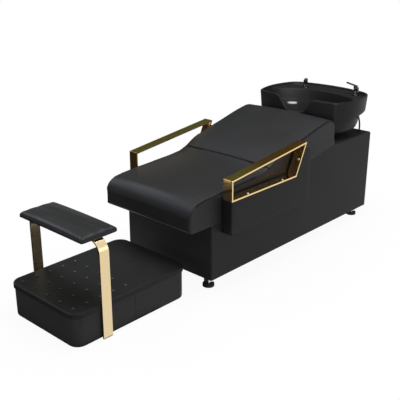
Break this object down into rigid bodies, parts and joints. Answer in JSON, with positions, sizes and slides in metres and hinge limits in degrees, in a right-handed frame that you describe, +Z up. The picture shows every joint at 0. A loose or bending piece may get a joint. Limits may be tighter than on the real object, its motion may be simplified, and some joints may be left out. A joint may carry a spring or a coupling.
{
  "type": "shampoo sink with chair",
  "caption": "Black upholstered shampoo chair with gold arm frames, a tilting glossy black wash bowl with mixer tap and hand spray at its head, and a separate padded foot unit.",
  "frame": {"origin": "middle of the bounding box at floor level", "axes": "+Z up, +Y along the seat from the foot unit to the bowl, +X to the sitter's left"},
  "size_m": [0.728, 2.293, 0.8235],
  "materials": {
    "covered_board": "smooth black upholstery leather over board",
    "black_leather": "smooth black upholstery leather, soft sheen",
    "carcass_board": "raw board",
    "polished_gold": "polished, champagne gold",
    "zinc_steel": "bright zinc",
    "chrome": "polished",
    "black_rubber": "matt",
    "black_glaze": "glossy black",
    "black_plastic": "satin, fine grain"
  },
  "bodies": {
    "chair": {"right_side_panel": "covered_board", "left_side_panel": "covered_board", "front_panel": "covered_board", "rear_panel": "covered_board", "pedestal_cover": "covered_board", "seat_cushion": "black_leather", "back_cushion": "black_leather", "right_arm_block": "black_leather", "left_arm_block": "black_leather", "bottom_board": "carcass_board", "seat_board": "carcass_board", "cross_rails": "carcass_board", "back_board": "carcass_board", "bulkhead": "carcass_board", "right_arm_frame": "polished_gold", "left_arm_frame": "polished_gold", "right_arm_screws": "zinc_steel", "left_arm_screws": "zinc_steel", "rear_panel_screws": "zinc_steel", "foot_plates": "zinc_steel", "bowl_bracket": "zinc_steel", "bowl_hinge_pin": "zinc_steel", "supply_inlets": "zinc_steel", "bowl_stops": "black_rubber", "hose_grommets": "black_rubber", "waste_hose": "black_rubber", "hot_hose": "black_rubber", "cold_hose": "black_rubber", "waste_outlet": "black_plastic"},
    "bowl": {"bowl": "black_glaze", "tilt_plate": "zinc_steel", "drain_strainer": "chrome", "drain_seal": "black_rubber", "waste_tail": "chrome", "mixer_body": "black_glaze", "mixer_nut": "chrome", "spray_socket": "black_glaze", "spray_nut": "chrome"},
    "mixer_cap": {"mixer_cap": "black_glaze"},
    "mixer_lever": {"mixer_lever": "chrome"},
    "hand_spray": {"spray_body": "black_glaze", "spray_rose": "black_rubber"},
    "front_left_foot": {"front_left_foot_stem": "chrome", "front_left_foot_disc": "black_rubber"},
    "front_right_foot": {"front_right_foot_stem": "chrome", "front_right_foot_disc": "black_rubber"},
    "rear_left_foot": {"rear_left_foot_stem": "chrome", "rear_left_foot_disc": "black_rubber"},
    "rear_right_foot": {"rear_right_foot_stem": "chrome", "rear_right_foot_disc": "black_rubber"},
    "foot_unit": {"foot_box_lid": "black_plastic", "foot_box_front_shell": "black_plastic", "foot_box_rear_shell": "black_plastic", "foot_box_base": "black_plastic", "foot_box_pads": "black_rubber", "foot_strap": "polished_gold", "strap_bosses": "polished_gold", "pad_board": "carcass_board", "pad_screws": "zinc_steel", "foot_pad": "black_leather"}
  },
  "joints": [
    {"name": "bowl_tilt", "type": "hinge", "parent": "chair", "child": "bowl", "pos_m": [0, 1.0325, 0.5525], "axis": [-1, 0, 0], "range_deg": [0, 10], "deforming": ["hot_hose", "cold_hose", "waste_hose"]},
    {"name": "mixer_swing", "type": "hinge", "parent": "bowl", "child": "mixer_cap", "pos_m": [0.195, 1.0765, 0.79], "axis": [0, 0, 1], "range_deg": [-50, 50]},
    {"name": "mixer_lift", "type": "hinge", "parent": "mixer_cap", "child": "mixer_lever", "pos_m": [0.195, 1.0765, 0.7913], "axis": [0, 1, 0], "range_deg": [0, 20]},
    {"name": "spray_lift", "type": "slide", "parent": "bowl", "child": "hand_spray", "axis": [0, 0, 1], "range_m": [0, 0.15]},
    {"name": "front_left_foot_turn", "type": "hinge", "parent": "chair", "child": "front_left_foot", "pos_m": [-0.243, -0.3025, 0.03], "axis": [0, 0, 1], "continuous": true},
    {"name": "front_right_foot_turn", "type": "hinge", "parent": "chair", "child": "front_right_foot", "pos_m": [0.243, -0.3025, 0.03], "axis": [0, 0, 1], "continuous": true},
    {"name": "rear_left_foot_turn", "type": "hinge", "parent": "chair", "child": "rear_left_foot", "pos_m": [-0.243, 1.0425, 0.03], "axis": [0, 0, 1], "continuous": true},
    {"name": "rear_right_foot_turn", "type": "hinge", "parent": "chair", "child": "rear_right_foot", "pos_m": [0.243, 1.0425, 0.03], "axis": [0, 0, 1], "continuous": true},
    {"name": "foot_unit_slide", "type": "slide", "parent": "chair", "child": "foot_unit", "axis": [0, -1, 0], "range_m": [-0.1, 0.3]}
  ]
}
